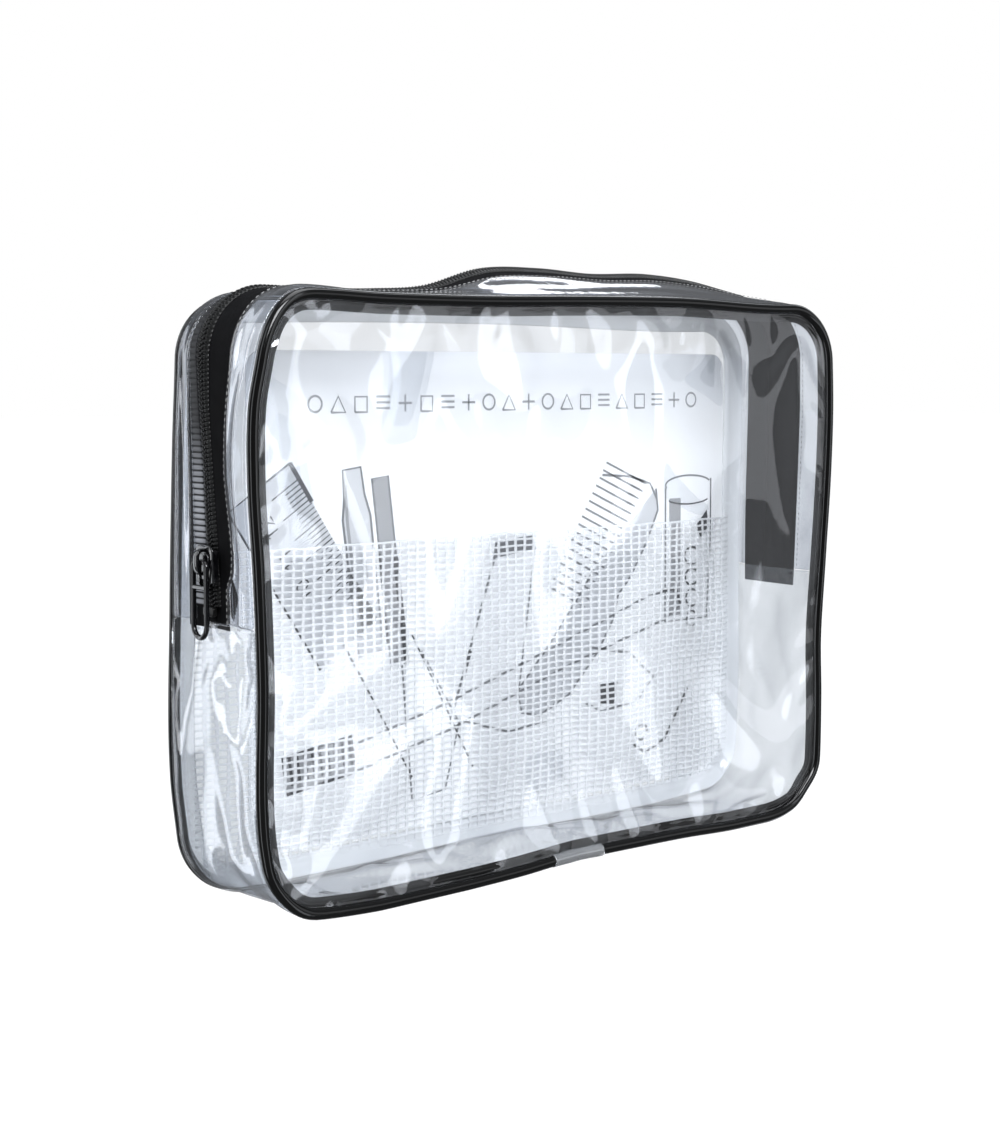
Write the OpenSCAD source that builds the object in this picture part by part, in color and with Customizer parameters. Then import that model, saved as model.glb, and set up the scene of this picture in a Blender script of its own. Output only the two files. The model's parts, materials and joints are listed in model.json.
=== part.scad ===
// Clear vinyl makeup bag with black piping, a zipper that runs up one side,
// over the top and down the other, and a net pocket inside the back.
// The bag stands on z = 0. X is its width, -Y its front and +Z is up.

/* [Bag] */
// Width over the piping
bag_w = 245; // [200:1:300]
// Height over the piping
bag_h = 185; // [175:1:220]
// Depth over the front and back piping
bag_d = 50; // [46:1:70]
// Corner radius at the centre line of the piping
corner_r = 18; // [14:1:30]
// Height of the line where the unzipped front folds forward
fold_z = 113; // [113:1:120]
// Gap between the two sides of the fold line
fold_gap = 0.3; // [0.2:0.1:1]

/* [Vinyl] */
// Thickness of the clear vinyl
vinyl_t = 0.5; // [0.3:0.1:0.8]
// Height of the seam between the lower gusset and the zipper band
seam_z = 88; // [86:1:90]
// Half width of the slot in the zipper band that shows the tape
slot_half = 8.5; // [6:0.5:9]

/* [Piping] */
// Outer diameter of the piping
piping_d = 3.6; // [3:0.1:4.4]
// Diameter of the cord inside the piping
core_d = 2.3; // [1.8:0.1:2.6]
// Width of the flat lip that is sewn into the seam
lip_w = 4.5; // [4:0.5:9]
// Thickness of the lip
lip_t = 0.4; // [0.3:0.1:0.5]
// Length of the clear wrap over the joint of the front piping
splice_l = 21; // [14:1:30]

/* [Zipper] */
// Distance from the middle of the gusset back to the zipper's centre
zip_y = 1.5; // [0:0.5:3]
// Width of both tapes together
tape_w = 25; // [23:1:28]
// Thickness of the tape
tape_t = 0.4; // [0.3:0.1:0.4]
// Width of the closed pair of coils
coil_w = 6; // [5:0.5:6]
// Height of a coil over its tape
coil_h = 1.4; // [1:0.1:1.4]
// Gap between the two coils, where the slider's divider runs
coil_gap = 1; // [1:0.1:1.2]

/* [Slider and pull] */
// Length of the slider
slider_l = 12.3; // [11:0.1:13]
// Width of the slider
slider_w = 10; // [9.6:0.1:11]
// Height of the slider's lower end where it is parked
slider_z = 98.3; // [98:0.1:98.8]
// Length of the pull from its pin to its tip
pull_l = 23; // [18:1:30]
// Width of the pull
pull_w = 9; // [8:0.5:11]
// Diameter of the pull's wire
wire_d = 1.6; // [1.2:0.1:1.7]

/* [Pocket and card] */
// Height of the net pocket's top edge
net_top = 106; // [80:0.5:120]
// Thickness of the net
net_t = 0.4; // [0.3:0.1:0.5]
// Width of the insert card
card_w = 212; // [180:1:216]
// Height of the insert card
card_h = 159; // [120:1:160]
// Thickness of the insert card
card_t = 0.4; // [0.3:0.1:0.4]
// Distance from the middle of the bag to the middle of the card
card_x = 8.5; // [0:0.5:8.5]
// Corner radius of the card
card_r = 6; // [6:1:12]

/* [Hidden] */
$fn = 96;

// Small gap that keeps two touching sheets apart
film = 0.1;
// Running gap between a moving piece and its neighbours
run = 0.3;
// Radius of the piping, and the centre line that it follows
piping_r = piping_d / 2;
line_x = bag_w / 2 - piping_r;
line_y = bag_d / 2 - piping_r;
line_bottom = piping_r;
line_top = bag_h - piping_r;
line_mid = (line_bottom + line_top) / 2;

// Levels outside the piping's centre line: vinyl wall, tape and coil
wall_in = piping_r - vinyl_t;
tape_out = wall_in - film;
tape_in = tape_out - tape_t;
coil_out = tape_out + coil_h;
// Where the flat gusset meets the round piping
gusset_edge = line_y - sqrt(pow(piping_r, 2) - pow(wall_in, 2)) - film / 2;
// How far the tape ends reach under the lower gusset
tape_tuck = 2;
coil_start = seam_z + 4.5;
stop_h = 2.8;

// Slider: levels outside the centre line
plate_in = coil_out + run;
plate_t = 1.1;
plate_out = plate_in + plate_t;
rail_t = 1.6;
rail_in = tape_out + run + film;
inner_out = tape_in - run - film;
divider_t = coil_gap - 2 * run;
divider_l = 6;
// Pin line of the pull
pin_out = plate_out + wire_d / 2 + run + film;
pin_z = slider_z + slider_l - 4.8;
bridge_t = 2.4;
bridge_l = 8;
bridge_wall = 1.1;
window_l = 3.8;

// Layers behind the net, from the back panel inward
lip_gap = vinyl_t / 2 + film;
card_y = line_y - lip_gap - lip_t - run - film - card_t / 2;
net_y = card_y - card_t / 2 - run - net_t / 2;
card_z = 9;

// The right-hand half of a shape and its mirror image on the left
module both_sides() {
    children();
    mirror([1, 0, 0]) children();
}

// A profile carried round the bag. The profile's X is the distance outside the
// centre line of the piping and its Y is the place along the bag's depth.
module side_run(z_from, z_to) {
    translate([line_x, 0, z_from])
        linear_extrude(z_to - z_from)
            children();
}

module corner_run(z, start) {
    translate([line_x - corner_r, 0, z])
        rotate([-90, 0, 0])
            rotate([0, 0, start])
                rotate_extrude(angle = 90)
                    translate([corner_r, 0])
                        children();
}

module level_run(z, turn) {
    translate([-turn * (line_x - corner_r), 0, z])
        rotate([0, turn * 90, 0])
            linear_extrude(2 * (line_x - corner_r))
                children();
}

module upper_run(z_from) {
    both_sides() {
        side_run(z_from, line_top - corner_r) children();
        corner_run(line_top - corner_r, -90) children();
    }
    level_run(line_top, -1) children();
}

module lower_run(z_to) {
    both_sides() {
        side_run(line_bottom + corner_r, z_to) children();
        corner_run(line_bottom + corner_r, 0) children();
    }
    level_run(line_bottom, 1) children();
}

module ring_run() {
    upper_run(line_mid) children();
    lower_run(line_mid) children();
}

// A strip profile between two levels and two depths
module strip_profile(out_from, out_to, y_from, y_to) {
    translate([out_from, y_from]) square([out_to - out_from, y_to - y_from]);
}

module wall_profile(y_from, y_to) {
    strip_profile(wall_in, piping_r, y_from, y_to);
}

module tape_profile(y_from, y_to) {
    strip_profile(tape_in, tape_out, y_from, y_to);
}

module cover_profile(y) {
    translate([0, y])
        difference() {
            circle(d = piping_d);
            circle(d = core_d + film);
        }
}

module core_profile(y) {
    translate([0, y]) circle(d = core_d);
}

// The lip lies on the inner face of the panel; side is -1 in front, 1 behind
module lip_profile(side) {
    near = line_y - lip_gap - lip_t;
    translate([-piping_r - film - lip_w, side > 0 ? near : -near - lip_t])
        square([lip_w, lip_t]);
}

// Flat outline of the bag, drawn inside the piping's centre line
module bag_outline(inset) {
    half_w = line_x - corner_r;
    half_h = line_mid - line_bottom - corner_r;
    r = corner_r - inset;
    translate([0, line_mid]) {
        square([2 * (half_w + r), 2 * half_h], center = true);
        square([2 * half_w, 2 * (half_h + r)], center = true);
        for (x = [-half_w, half_w], y = [-half_h, half_h])
            translate([x, y]) circle(r);
    }
}

module outline_between(inset, z_from, z_to) {
    intersection() {
        bag_outline(inset);
        translate([-bag_w / 2, z_from]) square([bag_w, z_to - z_from]);
    }
}

// Stands a flat outline up at depth y
module upright_sheet(y, thickness) {
    translate([0, y + thickness / 2, 0])
        rotate([90, 0, 0])
            linear_extrude(thickness)
                children();
}

module panel(y, z_from, z_to) {
    upright_sheet(y, vinyl_t) outline_between(piping_r + film / 2, z_from, z_to);
}

// Both short ends of a band, between the seam and the fold line
module band_ends(z_from) {
    both_sides() side_run(z_from, fold_z - fold_gap / 2) children();
}

module back_panel() {
    color("aliceblue", 0.35) panel(line_y, 0, bag_h);
}

module front_panel_lower() {
    color("aliceblue", 0.35) panel(-line_y, 0, fold_z - fold_gap / 2);
}

module front_panel_upper() {
    color("aliceblue", 0.35) panel(-line_y, fold_z + fold_gap / 2, bag_h);
}

module gusset_lower() {
    color("aliceblue", 0.35) lower_run(seam_z) wall_profile(-gusset_edge, gusset_edge);
}

module gusset_strip_back() {
    color("aliceblue", 0.35)
        upper_run(seam_z + film) wall_profile(zip_y + slot_half, gusset_edge);
}

module gusset_strip_front_lower() {
    color("aliceblue", 0.35)
        band_ends(seam_z + film) wall_profile(-gusset_edge, zip_y - slot_half);
}

module gusset_strip_front_upper() {
    color("aliceblue", 0.35)
        upper_run(fold_z + fold_gap / 2) wall_profile(-gusset_edge, zip_y - slot_half);
}

module piping_cover_back() {
    color("black") ring_run() cover_profile(line_y);
}

module piping_core_back() {
    color("dimgray") ring_run() core_profile(line_y);
}

module piping_lip_back() {
    color("gainsboro", 0.5) ring_run() lip_profile(1);
}

module piping_cover_front_lower() {
    color("black") lower_run(fold_z - fold_gap / 2) cover_profile(-line_y);
}

module piping_core_front_lower() {
    color("dimgray") lower_run(fold_z - fold_gap / 2) core_profile(-line_y);
}

module piping_lip_front_lower() {
    color("#1a1a1a") lower_run(fold_z - fold_gap / 2) lip_profile(-1);
}

module piping_cover_front_upper() {
    color("black") upper_run(fold_z + fold_gap / 2) cover_profile(-line_y);
}

module piping_core_front_upper() {
    color("dimgray") upper_run(fold_z + fold_gap / 2) core_profile(-line_y);
}

module piping_lip_front_upper() {
    color("#1a1a1a") upper_run(fold_z + fold_gap / 2) lip_profile(-1);
}

// Clear film round the upper front of the piping, over its joint
module piping_splice() {
    film_r = piping_r + film / 2;
    clear_of_panel = vinyl_t / 2 + film;
    color("whitesmoke", 0.5)
        intersection() {
            translate([-splice_l / 2, -line_y, line_bottom])
                rotate([0, 90, 0])
                    linear_extrude(splice_l)
                        difference() {
                            circle(film_r + film * 2);
                            circle(film_r);
                        }
            translate([-splice_l, -line_y - piping_d - clear_of_panel, line_bottom])
                cube([2 * splice_l, piping_d, piping_d]);
        }
}

module zipper_tape_back() {
    color("#222226")
        upper_run(seam_z - tape_tuck) tape_profile(zip_y + coil_gap / 2, zip_y + tape_w / 2);
}

module zipper_tape_front_lower() {
    color("#222226")
        band_ends(seam_z - tape_tuck) tape_profile(zip_y - tape_w / 2, zip_y - coil_gap / 2);
}

module zipper_tape_front_upper() {
    color("#222226")
        upper_run(fold_z + fold_gap / 2)
            tape_profile(zip_y - tape_w / 2, zip_y - coil_gap / 2);
}

module coil_profile(y_from, y_to) {
    strip_profile(tape_out, coil_out, y_from, y_to);
}

module zipper_coil_back() {
    color("black")
        upper_run(coil_start) coil_profile(zip_y + coil_gap / 2, zip_y + coil_w / 2);
}

module zipper_coil_front_lower() {
    color("black")
        band_ends(coil_start) coil_profile(zip_y - coil_w / 2, zip_y - coil_gap / 2);
}

module zipper_coil_front_upper() {
    color("black")
        upper_run(fold_z + fold_gap / 2)
            coil_profile(zip_y - coil_w / 2, zip_y - coil_gap / 2);
}

// One stop below each end of the coils
module zipper_end_stops() {
    color("#1a1a1a")
        both_sides()
            side_run(coil_start - film - stop_h, coil_start - film)
                coil_profile(zip_y - coil_w / 2, zip_y + coil_w / 2);
}

// Profile of the slider across the chain: outer plate with two rails, divider
// and inner plate
module slider_profile(divided) {
    half_w = slider_w / 2;
    strip_profile(plate_in, plate_out, zip_y - half_w, zip_y + half_w);
    strip_profile(rail_in, plate_out, zip_y - half_w, zip_y - half_w + rail_t);
    strip_profile(rail_in, plate_out, zip_y + half_w - rail_t, zip_y + half_w);
    strip_profile(inner_out - plate_t, inner_out, zip_y - half_w, zip_y + half_w);
    if (divided)
        strip_profile(inner_out - plate_t, plate_out,
            zip_y - divider_t / 2, zip_y + divider_t / 2);
}

module slider_body() {
    nose = (slider_l - divider_l) / 2;
    color("#141414")
        mirror([1, 0, 0]) {
            side_run(slider_z, slider_z + nose) slider_profile(false);
            side_run(slider_z + nose, slider_z + slider_l - nose) slider_profile(true);
            side_run(slider_z + slider_l - nose, slider_z + slider_l)
                slider_profile(false);
        }
}

// The arch over the pull's pin, drawn level with X outward and Y along the chain
module bridge_outline() {
    top = pin_out + wire_d / 2 + run + bridge_wall;
    round_r = 1.6;
    difference() {
        union() {
            translate([plate_out, -bridge_l / 2])
                square([top - plate_out - round_r, bridge_l]);
            translate([plate_out, -bridge_l / 2 + round_r])
                square([top - plate_out, bridge_l - 2 * round_r]);
            for (z = [-1, 1])
                translate([top - round_r, z * (bridge_l / 2 - round_r)])
                    circle(round_r);
        }
        translate([plate_out - film, -window_l / 2])
            square([top - bridge_wall - plate_out + film, window_l]);
    }
}

module slider_bridge() {
    color("#141414")
        mirror([1, 0, 0])
            translate([line_x, zip_y + bridge_t / 2, pin_z])
                rotate([90, 0, 0])
                    linear_extrude(bridge_t)
                        bridge_outline();
}

// A long loop of wire with a cross bar, hanging from its pin
module zipper_pull() {
    half = (pull_w - wire_d) / 2;
    rail_l = pull_l - half - wire_d / 2;
    bar_drop = 7.5;
    color("#141414")
        translate([-line_x - pin_out, zip_y, pin_z]) {
            for (side = [-1, 1]) {
                translate([0, side * half, -rail_l]) cylinder(h = rail_l, d = wire_d);
                translate([0, side * half, 0]) sphere(d = wire_d);
            }
            for (drop = [0, bar_drop])
                translate([0, half, -drop])
                    rotate([90, 0, 0])
                        cylinder(h = 2 * half, d = wire_d);
            translate([0, 0, -rail_l])
                rotate([0, 90, 0])
                    rotate([0, 0, -90])
                        rotate_extrude(angle = 180)
                            translate([half, 0])
                                circle(d = wire_d);
        }
}

module net_pocket() {
    net_inset = piping_r + film * 7;
    color("white", 0.7) upright_sheet(net_y, net_t) outline_between(net_inset, 0, net_top);
}

module insert_card() {
    color("white")
        upright_sheet(card_y, card_t)
            translate([card_x - card_w / 2, card_z]) {
                translate([0, card_r]) square([card_w, card_h - 2 * card_r]);
                translate([card_r, 0]) square([card_w - 2 * card_r, card_h]);
                for (x = [card_r, card_w - card_r], y = [card_r, card_h - card_r])
                    translate([x, y]) circle(card_r);
            }
}

back_panel();
front_panel_lower();
front_panel_upper();
gusset_lower();
gusset_strip_back();
gusset_strip_front_lower();
gusset_strip_front_upper();
piping_cover_back();
piping_core_back();
piping_lip_back();
piping_cover_front_lower();
piping_core_front_lower();
piping_lip_front_lower();
piping_cover_front_upper();
piping_core_front_upper();
piping_lip_front_upper();
piping_splice();
zipper_tape_back();
zipper_tape_front_lower();
zipper_tape_front_upper();
zipper_coil_back();
zipper_coil_front_lower();
zipper_coil_front_upper();
zipper_end_stops();
slider_body();
slider_bridge();
zipper_pull();
net_pocket();
insert_card();
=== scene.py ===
import json
import math

import bmesh
import bpy
import numpy as np
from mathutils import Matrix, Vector, noise


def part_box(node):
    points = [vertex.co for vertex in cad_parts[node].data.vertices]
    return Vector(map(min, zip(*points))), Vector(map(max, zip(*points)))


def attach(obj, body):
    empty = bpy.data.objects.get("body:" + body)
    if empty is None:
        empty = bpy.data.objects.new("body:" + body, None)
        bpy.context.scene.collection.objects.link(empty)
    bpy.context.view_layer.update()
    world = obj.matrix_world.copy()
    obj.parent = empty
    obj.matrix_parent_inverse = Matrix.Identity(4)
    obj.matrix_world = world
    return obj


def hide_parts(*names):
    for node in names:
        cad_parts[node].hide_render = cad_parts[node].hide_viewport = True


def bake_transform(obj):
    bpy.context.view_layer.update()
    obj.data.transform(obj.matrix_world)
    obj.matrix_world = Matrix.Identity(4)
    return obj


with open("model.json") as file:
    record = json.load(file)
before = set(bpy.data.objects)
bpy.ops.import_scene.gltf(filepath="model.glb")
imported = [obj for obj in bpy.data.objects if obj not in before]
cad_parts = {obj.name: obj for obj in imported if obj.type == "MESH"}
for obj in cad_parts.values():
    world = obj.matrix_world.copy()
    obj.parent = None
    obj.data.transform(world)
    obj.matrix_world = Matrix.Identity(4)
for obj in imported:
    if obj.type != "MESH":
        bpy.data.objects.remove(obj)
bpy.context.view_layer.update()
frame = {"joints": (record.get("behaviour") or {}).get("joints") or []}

scene = bpy.context.scene
MM = 0.001


# ---------------------------------------------------------------- measures from the frame

ring_low, ring_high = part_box("piping_cover_back")
piping_r = (ring_high.y - ring_low.y) / 2
line_x = ring_high.x - piping_r
line_y = (ring_high.y + ring_low.y) / 2
line_low = ring_low.z + piping_r
line_top = ring_high.z - piping_r
corner_r = 18 * MM

gusset_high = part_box("gusset_lower")[1]
seam_z = gusset_high.z
wall_out = gusset_high.x - line_x
wall_level = wall_out * 0.86
wall_t = 0.5 * MM
edge_y = gusset_high.y

tape_low, tape_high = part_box("zipper_tape_back")
front_tape_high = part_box("zipper_tape_front_lower")[1]
tape_end_z = tape_low.z
tape_out = tape_high.x - line_x
tape_t = 0.4 * MM
zip_y = (tape_low.y + front_tape_high.y) / 2
tape_half = tape_high.y - zip_y
slot_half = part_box("gusset_strip_back")[0].y - zip_y

coil_low, coil_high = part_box("zipper_coil_back")
coil_end_z = coil_low.z
coil_half = coil_high.y - zip_y

net_low, net_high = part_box("net_pocket")
net_y = (net_low.y + net_high.y) / 2
card_low, card_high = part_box("insert_card")

fold = next(j for j in frame["joints"] if j["name"] == "front_fold")
fold_y, fold_z = fold["pos_m"][1], fold["pos_m"][2]
BEND_FROM = (0, fold_y, fold_z - 1.5 * MM)
BEND_TO = (0, fold_y, fold_z + 24 * MM)


# ---------------------------------------------------------------- the line of the piping

# Lengths along the ring: half the bottom, a corner, a side
half_run = line_x - corner_r
corner_run = math.pi * corner_r / 2
side_run = line_top - line_low - 2 * corner_r
ring_length = 4 * half_run + 4 * corner_run + 2 * side_run


def ring(s):
    """Place and outward direction on the ring, at length s from the bottom's middle, left side first."""
    s = np.mod(np.asarray(s, float), ring_length)
    mirrored = s > ring_length / 2
    s = np.where(mirrored, ring_length - s, s)
    low_turn = np.clip((s - half_run) / corner_r, 0, math.pi / 2)
    high_turn = np.clip((s - half_run - corner_run - side_run) / corner_r, 0, math.pi / 2)
    turn = low_turn + high_turn
    along_bottom = np.minimum(s, half_run)
    along_side = np.clip(s - half_run - corner_run, 0, side_run)
    along_top = np.maximum(s - half_run - 2 * corner_run - side_run, 0)
    out_x, out_z = -np.sin(turn), -np.cos(turn)
    x = -along_bottom + along_top + corner_r * out_x
    z = line_low + corner_r + along_side + corner_r * out_z
    sign = np.where(mirrored, -1.0, 1.0)
    return x * sign, z, out_x * sign, out_z


def smooth_knots(s, knots, period=None):
    """A smooth curve through given (length, value) knots, both in millimetres."""
    at = np.array([k[0] for k in knots], float) * MM
    value = np.array([k[1] for k in knots], float) * MM
    s = np.asarray(s, float)
    if period:
        s = np.mod(s, period)
        at = np.concatenate([[at[-1] - period], at, [at[0] + period]])
        value = np.concatenate([[value[-1]], value, [value[0]]])
    slope = np.gradient(value, at)
    i = np.clip(np.searchsorted(at, s) - 1, 0, len(at) - 2)
    width = at[i + 1] - at[i]
    t = np.clip((s - at[i]) / width, 0, 1)
    return ((1 + 2 * t) * (1 - t) ** 2 * value[i] + t * (1 - t) ** 2 * width * slope[i]
            + t * t * (3 - 2 * t) * value[i + 1] + t * t * (t - 1) * width * slope[i + 1])


# How far the soft front piping strays outward from its sewing line
FRONT_STRAY = [(0, -1.6), (25, -0.4), (45, 0), (80, 0), (100, -1.2), (118, -3.4), (140, -0.6),
               (185, -0.5), (215, 0.8), (240, 2.4), (262, 2.0), (282, -1.6), (300, 0.2), (330, -0.3),
               (370, -0.2), (410, 0.8), (455, 1.5), (500, 0.4), (520, 0.8), (560, 1.6), (585, 0.6),
               (610, -1.0), (640, -3.0), (662, -2.6), (684, -3.4), (700, -5.2), (718, -0.6),
               (740, 0), (765, -1.0), (790, -1.4)]
BACK_STRAY = [(0, -0.8), (60, 0), (100, -0.4), (118, -1.6), (150, 1.3), (200, 1.2), (250, 0),
              (285, -1.6), (320, -0.4), (410, 0.6), (500, -0.6), (545, 0.6), (600, -0.4),
              (660, 0.2), (700, -1.8), (740, 0)]
FRONT_SWAY = [(0, 0.8), (80, -0.6), (160, 0.4), (240, -0.8), (320, 0.6), (400, -0.4), (480, 0.5),
              (560, -0.9), (640, 0.5), (720, -0.5)]


def piping_line(s, side):
    """Centre of the piping at length s: x, y, z and the outward direction. Side is -1 in front, 1 behind."""
    x, z, out_x, out_z = ring(s)
    stray = smooth_knots(s, FRONT_STRAY if side < 0 else BACK_STRAY, ring_length)
    sway = smooth_knots(s, FRONT_SWAY, ring_length)
    floor = np.maximum(z + stray * out_z, line_low)
    return x + stray * out_x, side * line_y + sway * 0.6, floor, out_x, out_z


# ---------------------------------------------------------------- the line of the zipper band

# Rise of the band over the piping along the top, and the drift of its middle toward the back
BAND_RISE = [(0, 0), (255, 0), (285, 1.4), (310, 1.2), (345, 1.5), (365, 3.0), (388, 9.4), (412, 10.2),
             (436, 9.0), (462, 9.8), (486, 8.2), (505, 5.0), (530, 0.8), (560, 0), (815, 0)]
BAND_DRIFT = [(0, 0), (222, 0), (244, 1.0), (268, 2.4), (310, 2.6), (400, 2.4), (520, 3.2),
              (560, 3.8), (620, 4.2), (815, 4.2)]
# How far the front tape shows from the zipper's middle, up to where the clear strip is sewn to it
FRONT_TAPE_EDGE = [(190, 7.9), (205, 7.9), (210, 8.6), (214, 11.5), (218, 12.6), (228, 12.6),
                   (236, 11.8), (243, 11.2), (252, 12), (262, 13.2), (285, 13.2), (310, 12.6),
                   (330, 10.2), (350, 8.6), (375, 8), (415, 8), (455, 8), (480, 8.6), (500, 10.2),
                   (520, 12.2), (540, 12.5), (580, 12.5), (640, 12.5)]
left_seam = half_run + corner_run + seam_z - line_low - corner_r
band_from = left_seam
band_to = ring_length - left_seam
coil_from = band_from + coil_end_z - seam_z
coil_to = ring_length - coil_from
RIB_PITCH = 1.8 * MM
COIL_PITCH = 1.3 * MM
STITCH_PITCH = 1.9 * MM


def band_place(s, y, out):
    """Where the zipper band's flat pattern lies: s along it, y across the depth, out beyond the ring."""
    s, y = np.broadcast_arrays(np.asarray(s, float), np.asarray(y, float))
    x, z, out_x, out_z = ring(s)
    inward = np.clip(1 - np.abs(y - zip_y) / (edge_y - abs(zip_y)), 0, 1)
    lift = inward * (1.35 - 0.35 * inward)
    side = np.where(y < zip_y, -1.0, 1.0)
    stray = np.where(side < 0, smooth_knots(s, FRONT_STRAY, ring_length),
                     smooth_knots(s, BACK_STRAY, ring_length))
    rise = smooth_knots(s, BAND_RISE) * lift + stray * (1 - lift * 0.75)
    level = out + rise
    drift = smooth_knots(s, BAND_DRIFT) * lift
    return x + level * out_x, y + drift, z + level * out_z


# ---------------------------------------------------------------- mesh helpers

def new_object(name, mesh):
    obj = bpy.data.objects.new(name, mesh)
    scene.collection.objects.link(obj)
    return obj


def mesh_object(name, points, faces, pattern=None, smooth=True):
    """A mesh from points and faces; pattern holds each point's place on the flat cut, in metres."""
    mesh = bpy.data.meshes.new(name)
    mesh.from_pydata([tuple(p) for p in points], [], faces)
    if pattern is not None:
        layer = mesh.uv_layers.new(name="cut")
        corner = np.zeros(len(mesh.loops), np.int32)
        mesh.loops.foreach_get("vertex_index", corner)
        layer.data.foreach_set("uv", np.asarray(pattern, float)[corner].ravel())
    mesh.polygons.foreach_set("use_smooth", [smooth] * len(mesh.polygons))
    mesh.update()
    return new_object(name, mesh)


def grid_faces(columns, rows, closed=False):
    """Quads of a grid whose points run along each row first."""
    last = columns if closed else columns - 1
    return [(r * columns + c, r * columns + (c + 1) % columns,
             (r + 1) * columns + (c + 1) % columns, (r + 1) * columns + c)
            for r in range(rows - 1) for c in range(last)]


def grid_object(name, x, y, z, pattern=None, closed=False):
    """A sheet from arrays shaped rows by columns."""
    rows, columns = x.shape
    points = np.stack([x, y, z], -1).reshape(-1, 3)
    flat = None if pattern is None else np.stack(pattern, -1).reshape(-1, 2)
    return mesh_object(name, points, grid_faces(columns, rows, closed), flat)


def tube_object(name, line, radius, sides=12, closed=False):
    """A round tube along an array of points, with capped ends unless it is closed."""
    line = np.asarray(line, float)
    count = len(line)
    if closed:
        ahead, behind = np.roll(line, -1, 0), np.roll(line, 1, 0)
    else:
        ahead = np.vstack([line[1:], line[-1:]])
        behind = np.vstack([line[:1], line[:-1]])
    along = ahead - behind
    along /= np.linalg.norm(along, axis=1)[:, None]
    seed = np.array([0, 1.0, 0]) if abs(along[0][1]) < 0.9 else np.array([1.0, 0, 0])
    across = np.cross(along[0], seed)
    frames = []
    for i in range(count):
        across = across - along[i] * (across @ along[i])
        across /= np.linalg.norm(across)
        frames.append((across, np.cross(along[i], across)))
    twist = 0.0
    if closed:
        last = frames[-1][0] - along[0] * (frames[-1][0] @ along[0])
        twist = math.atan2(last @ frames[0][1], last @ frames[0][0])
    points = []
    for i, (a, b) in enumerate(frames):
        turn = -twist * i / count
        r = radius[i] if np.ndim(radius) else radius
        for k in range(sides):
            t = turn + 2 * math.pi * k / sides
            points.append(line[i] + r * (math.cos(t) * a + math.sin(t) * b))
    rings = count if closed else count - 1
    faces = [(i * sides + k, i * sides + (k + 1) % sides,
              ((i + 1) % count) * sides + (k + 1) % sides, ((i + 1) % count) * sides + k)
             for i in range(rings) for k in range(sides)]
    if not closed:
        faces.append(tuple(range(sides - 1, -1, -1)))
        faces.append(tuple((count - 1) * sides + k for k in range(sides)))
    return mesh_object(name, points, faces)


def apply_modifiers(obj):
    """Turns the object's modifiers into its mesh."""
    graph = bpy.context.evaluated_depsgraph_get()
    mesh = bpy.data.meshes.new_from_object(obj.evaluated_get(graph))
    obj.modifiers.clear()
    old, obj.data = obj.data, mesh
    bpy.data.meshes.remove(old)
    return obj


def thicken(obj, thickness, offset=-1.0):
    solid = obj.modifiers.new("thickness", "SOLIDIFY")
    solid.thickness = thickness
    solid.offset = offset
    return apply_modifiers(obj)


def refine(obj):
    smooth = obj.modifiers.new("refine", "SUBSURF")
    smooth.levels = smooth.render_levels = 1
    return apply_modifiers(obj)


def points_of(obj):
    count = len(obj.data.vertices)
    points = np.zeros(count * 3, np.float32)
    obj.data.vertices.foreach_get("co", points)
    return points.reshape(-1, 3).astype(float)


def set_points(obj, points):
    obj.data.vertices.foreach_set("co", np.asarray(points, np.float32).ravel())
    obj.data.update()


def joined(name, parts):
    """One object from several, each already where it belongs."""
    mesh = bpy.data.meshes.new(name)
    whole = bmesh.new()
    for part in parts:
        whole.from_mesh(part.data)
    whole.to_mesh(mesh)
    whole.free()
    for part in parts:
        bpy.data.objects.remove(part)
    mesh.polygons.foreach_set("use_smooth", [True] * len(mesh.polygons))
    return new_object(name, mesh)


def ripples(points, size, seed):
    """Smooth unevenness from -1 to 1 at each point, with bumps about that size."""
    return np.array([noise.noise(Vector(p) / size + Vector((seed * 7.3, seed * 3.1, seed))) for p in points])


def soften(t):
    t = np.clip(t, 0, 1)
    return t * t * (3 - 2 * t)


def buckle(obj, sewn, slack, cap=9 * MM):
    """Lets a sheet cut a little too large buckle between its sewn edges, by cloth simulation."""
    frames = 24
    rest = points_of(obj)
    group = obj.vertex_groups.new(name="sewn")
    group.add([int(i) for i in np.nonzero(sewn)[0]], 1.0, "REPLACE")
    cloth = obj.modifiers.new("cloth", "CLOTH")
    settings = cloth.settings
    settings.quality = 6
    settings.mass = 0.4
    settings.air_damping = 4
    settings.tension_stiffness = settings.compression_stiffness = 60
    settings.shear_stiffness = 30
    settings.bending_stiffness = 12
    settings.shrink_min = -slack
    settings.vertex_group_mass = "sewn"
    settings.pin_stiffness = 1
    settings.effector_weights.gravity = 0
    cloth.collision_settings.use_collision = False
    cloth.point_cache.frame_start, cloth.point_cache.frame_end = 1, frames
    for step in range(1, frames + 1):
        scene.frame_set(step)
    apply_modifiers(obj)
    scene.frame_set(1)
    obj.vertex_groups.clear()
    moved = points_of(obj) - rest
    length = np.linalg.norm(moved, axis=1)
    limit = cap * np.tanh(length / cap) / np.maximum(length, 1e-9)
    set_points(obj, rest + moved * limit[:, None])
    return obj


# ---------------------------------------------------------------- materials

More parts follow.
